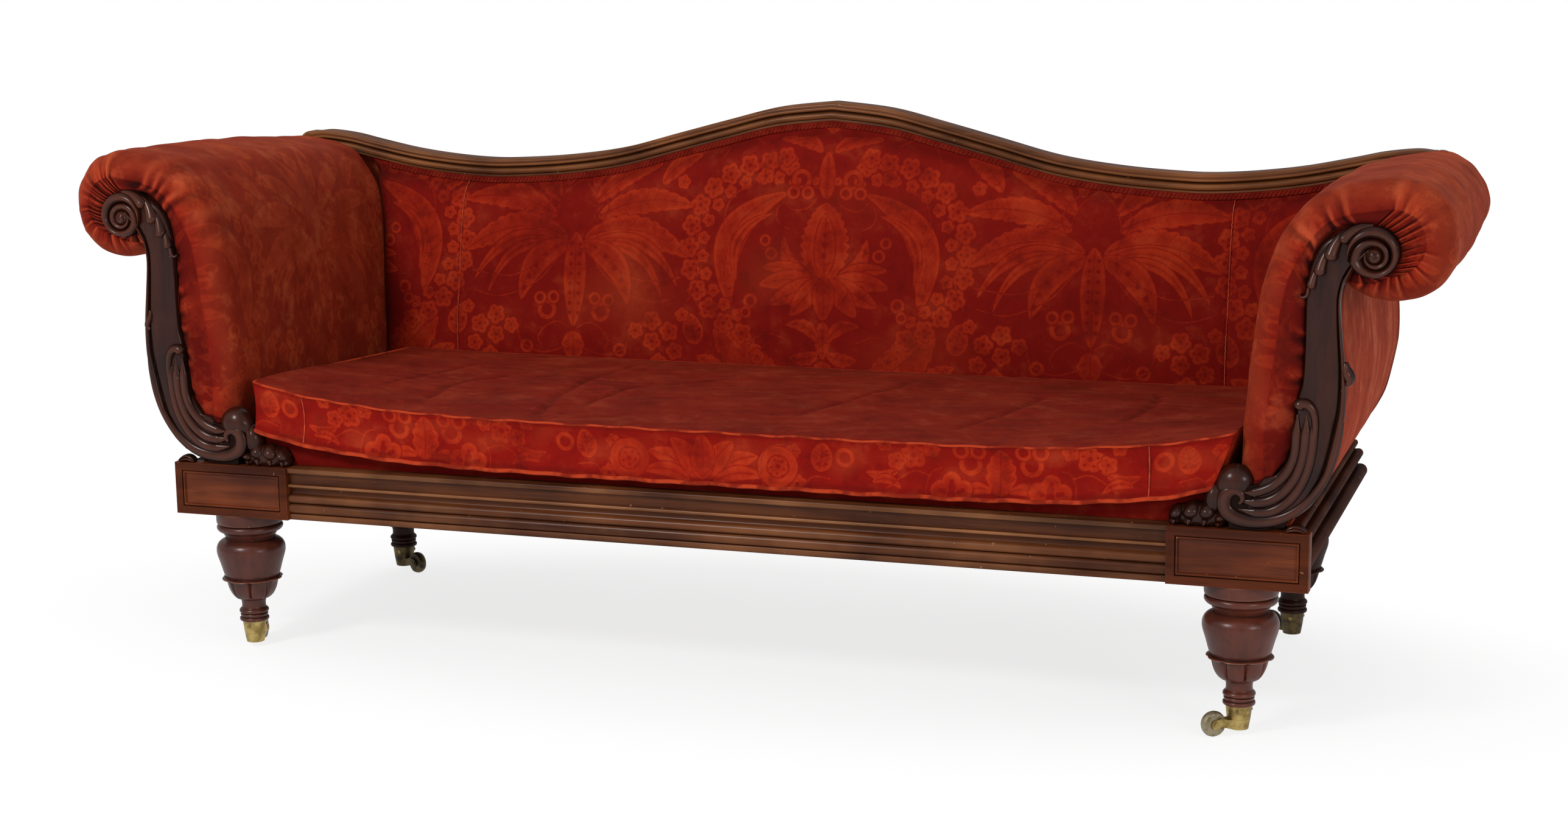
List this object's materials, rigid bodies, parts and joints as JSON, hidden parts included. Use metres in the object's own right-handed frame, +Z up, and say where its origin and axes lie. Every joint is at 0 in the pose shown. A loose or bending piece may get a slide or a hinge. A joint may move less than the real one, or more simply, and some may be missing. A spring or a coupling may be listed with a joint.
{
  "type": "scroll-end sofa",
  "caption": "Scroll-end sofa: carved mahogany frame on turned legs with brass casters, stuffed scroll arms, shaped back and a loose squab in crimson velvet.",
  "frame": {"origin": "centre of the bounding box at floor level", "axes": "+X along the sofa to the sitter's left hand, +Y from the front to the back, +Z up"},
  "size_m": [2.1994, 0.7055, 0.86],
  "materials": {
    "mahogany": "aged mahogany, French polished",
    "beech": "plain sawn beech, unpolished",
    "velvet": "crimson cut velvet with a damask pattern",
    "arm_velvet": "crimson velvet, faded and worn",
    "squab_velvet": "bright crimson cut velvet with a damask pattern",
    "gimp": "crimson gimp braid",
    "jute": "plain woven jute",
    "brass": "dull aged brass"
  },
  "bodies": {
    "frame": {"front_rail": "mahogany", "rear_rail": "beech", "side_rail_left": "mahogany", "side_rail_right": "mahogany", "front_die_left": "mahogany", "front_die_right": "mahogany", "corner_block_front_left": "beech", "corner_block_front_right": "beech", "corner_block_rear_left": "beech", "corner_block_rear_right": "beech", "leg_front_left": "mahogany", "leg_front_right": "mahogany", "leg_rear_left": "mahogany", "leg_rear_right": "mahogany", "seat_bearer_left": "beech", "seat_bearer_right": "beech", "seat_webbing": "jute", "seat_platform": "velvet", "arm_facing_left": "mahogany", "arm_facing_right": "mahogany", "arm_paw_left": "mahogany", "arm_paw_right": "mahogany", "arm_post_front_left": "beech", "arm_post_front_right": "beech", "arm_post_rear_left": "beech", "arm_post_rear_right": "beech", "arm_roll_core_left": "beech", "arm_roll_core_right": "beech", "arm_pad_left": "arm_velvet", "arm_pad_right": "arm_velvet", "arm_front_face_left": "velvet", "arm_front_face_right": "velvet", "arm_outside_panel_left": "arm_velvet", "arm_outside_panel_right": "arm_velvet", "back_stile_left": "beech", "back_stile_right": "beech", "back_upright_left": "beech", "back_upright_right": "beech", "back_tack_rail": "beech", "crest_rail": "mahogany", "back_webbing": "jute", "back_pad": "velvet", "back_gimp": "gimp", "outside_back": "velvet", "caster_cup_front_left": "brass", "caster_cup_front_right": "brass", "caster_cup_rear_left": "brass", "caster_cup_rear_right": "brass", "cup_screws": "brass"},
    "squab": {"squab": "squab_velvet"},
    "horn_front_left": {"caster_horn_front_left": "brass"},
    "wheel_front_left": {"caster_wheel_front_left": "brass"},
    "horn_front_right": {"caster_horn_front_right": "brass"},
    "wheel_front_right": {"caster_wheel_front_right": "brass"},
    "horn_rear_left": {"caster_horn_rear_left": "brass"},
    "wheel_rear_left": {"caster_wheel_rear_left": "brass"},
    "horn_rear_right": {"caster_horn_rear_right": "brass"},
    "wheel_rear_right": {"caster_wheel_rear_right": "brass"}
  },
  "joints": [
    {"name": "squab_lift", "type": "slide", "parent": "frame", "child": "squab", "axis": [0, 0, 1], "range_m": [0, 0.5]},
    {"name": "caster_swivel_front_left", "type": "hinge", "parent": "frame", "child": "horn_front_left", "pos_m": [-0.81, -0.298, 0.022], "axis": [0, 0, 1], "continuous": true},
    {"name": "caster_spin_front_left", "type": "hinge", "parent": "horn_front_left", "child": "wheel_front_left", "pos_m": [-0.82087, -0.25743, 0.019], "axis": [-0.9659, -0.2588, 0], "continuous": true},
    {"name": "caster_swivel_front_right", "type": "hinge", "parent": "frame", "child": "horn_front_right", "pos_m": [0.81, -0.298, 0.022], "axis": [0, 0, 1], "continuous": true},
    {"name": "caster_spin_front_right", "type": "hinge", "parent": "horn_front_right", "child": "wheel_front_right", "pos_m": [0.77783, -0.325, 0.019], "axis": [0.6428, -0.766, 0], "continuous": true},
    {"name": "caster_swivel_rear_left", "type": "hinge", "parent": "frame", "child": "horn_rear_left", "pos_m": [-0.81, 0.238, 0.022], "axis": [0, 0, 1], "continuous": true},
    {"name": "caster_spin_rear_left", "type": "hinge", "parent": "horn_rear_left", "child": "wheel_rear_left", "pos_m": [-0.77292, 0.21828, 0.019], "axis": [0.4695, 0.8829, 0], "continuous": true},
    {"name": "caster_swivel_rear_right", "type": "hinge", "parent": "frame", "child": "horn_rear_right", "pos_m": [0.81, 0.238, 0.022], "axis": [0, 0, 1], "continuous": true},
    {"name": "caster_spin_rear_right", "type": "hinge", "parent": "horn_rear_right", "child": "wheel_rear_right", "pos_m": [0.77363, 0.259, 0.019], "axis": [-0.5, -0.866, 0], "continuous": true}
  ]
}
